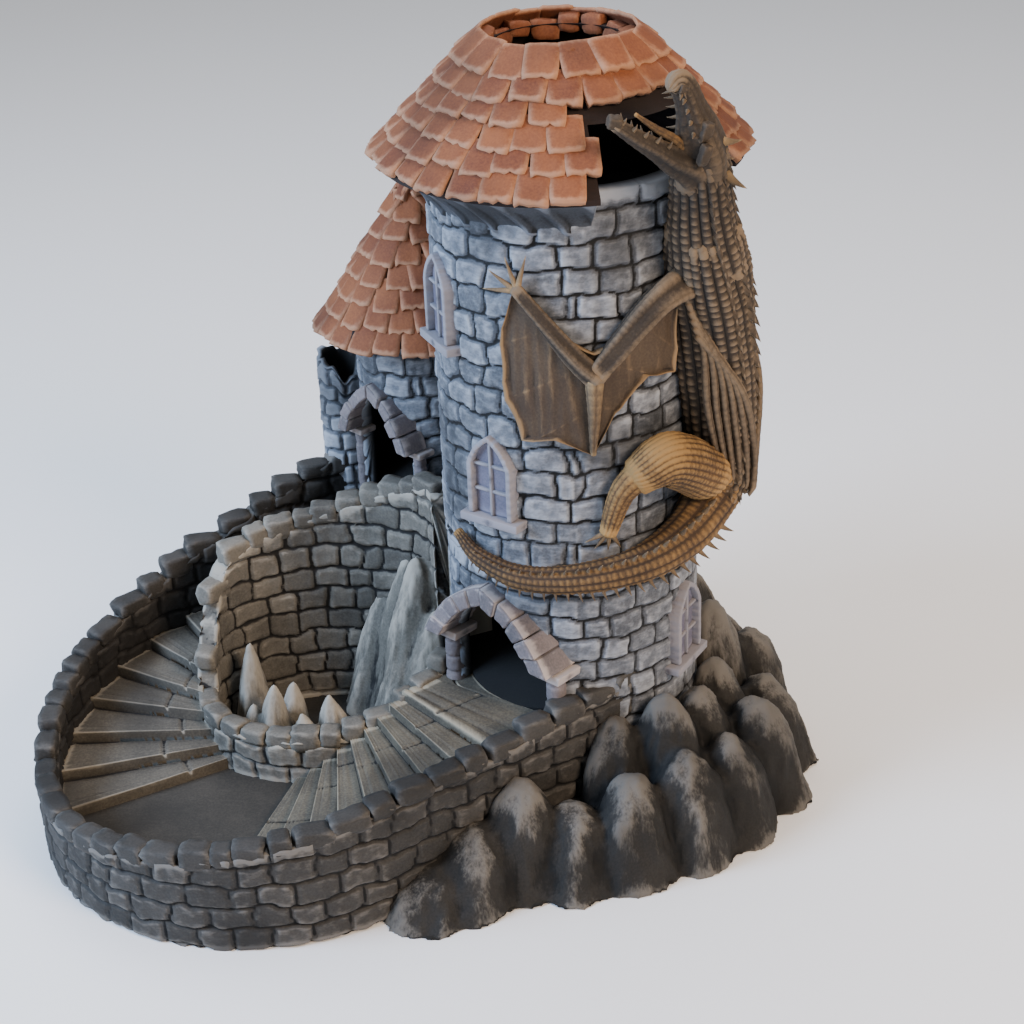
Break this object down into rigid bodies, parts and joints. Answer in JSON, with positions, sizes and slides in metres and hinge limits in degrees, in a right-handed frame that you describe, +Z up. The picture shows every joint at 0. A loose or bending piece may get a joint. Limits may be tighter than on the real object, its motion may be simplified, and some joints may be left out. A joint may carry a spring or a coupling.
{
  "type": "dice tower",
  "caption": "Ruined-castle dice tower: a dragon-wrapped round tower with baffles, a rock foot, a small side tower, curving stairs and a walled dice tray.",
  "frame": {"origin": "main tower's axis where it meets the flat underside", "axes": "+Z up along the main tower's axis, -Y to the front, +X to the right, away from the tray"},
  "size_m": [0.2455, 0.1856, 0.2362],
  "materials": {
    "tower_stone": "painted, dry-brushed",
    "court_stone": "painted, dry-brushed",
    "dressed_stone": "painted, dry-brushed",
    "roof_tile": "painted, dry-brushed",
    "rock": "painted, dry-brushed",
    "stair_tread": "painted, dry-brushed",
    "dragon_hide": "painted, dry-brushed",
    "window_frame": "painted, dry-brushed",
    "window_pane": "painted",
    "inner_shaft": "painted, flat"
  },
  "bodies": {
    "base": {"court_slab": "court_stone", "curtain_wall": "court_stone", "ring_wall_low": "court_stone", "ring_wall_tall": "court_stone", "stair_short": "stair_tread", "stair_long": "stair_tread", "pit_shards": "rock", "pit_boulders": "rock", "rock_skirt_front": "rock", "rock_skirt_back": "rock", "lower_drum": "tower_stone", "exit_ramp": "inner_shaft", "main_door_arch": "dressed_stone", "main_door_columns": "dressed_stone", "lower_window_frame": "window_frame", "lower_window_pane": "window_pane", "small_tower_drum": "tower_stone", "small_tower_ramp": "inner_shaft", "small_door_arch": "dressed_stone", "small_door_columns": "dressed_stone", "ruined_turret": "tower_stone"},
    "tower_upper": {"upper_drum": "tower_stone", "corbel_ring": "tower_stone", "upper_baffle": "inner_shaft", "lower_baffle": "inner_shaft", "front_window_frame": "window_frame", "front_window_pane": "window_pane", "left_window_frame": "window_frame", "left_window_pane": "window_pane", "dragon_torso": "dragon_hide", "dragon_tail": "dragon_hide", "dragon_neck": "dragon_hide", "dragon_skull": "dragon_hide", "dragon_jaw": "dragon_hide", "dragon_arm_near": "dragon_hide", "dragon_arm_far": "dragon_hide", "dragon_leg_near": "dragon_hide", "dragon_leg_far": "dragon_hide", "dragon_wing_near": "dragon_hide", "dragon_wing_far": "dragon_hide"},
    "main_roof": {"main_roof": "roof_tile"},
    "small_roof": {"small_roof": "roof_tile"}
  },
  "joints": [
    {"name": "tower_upper_lift", "type": "slide", "parent": "base", "child": "tower_upper", "axis": [0, 0, 1], "range_m": [0, 0.06]},
    {"name": "main_roof_lift", "type": "slide", "parent": "tower_upper", "child": "main_roof", "axis": [0, 0, 1], "range_m": [0, 0.06]},
    {"name": "small_roof_lift", "type": "slide", "parent": "base", "child": "small_roof", "axis": [0, 0, 1], "range_m": [0, 0.04]}
  ]
}
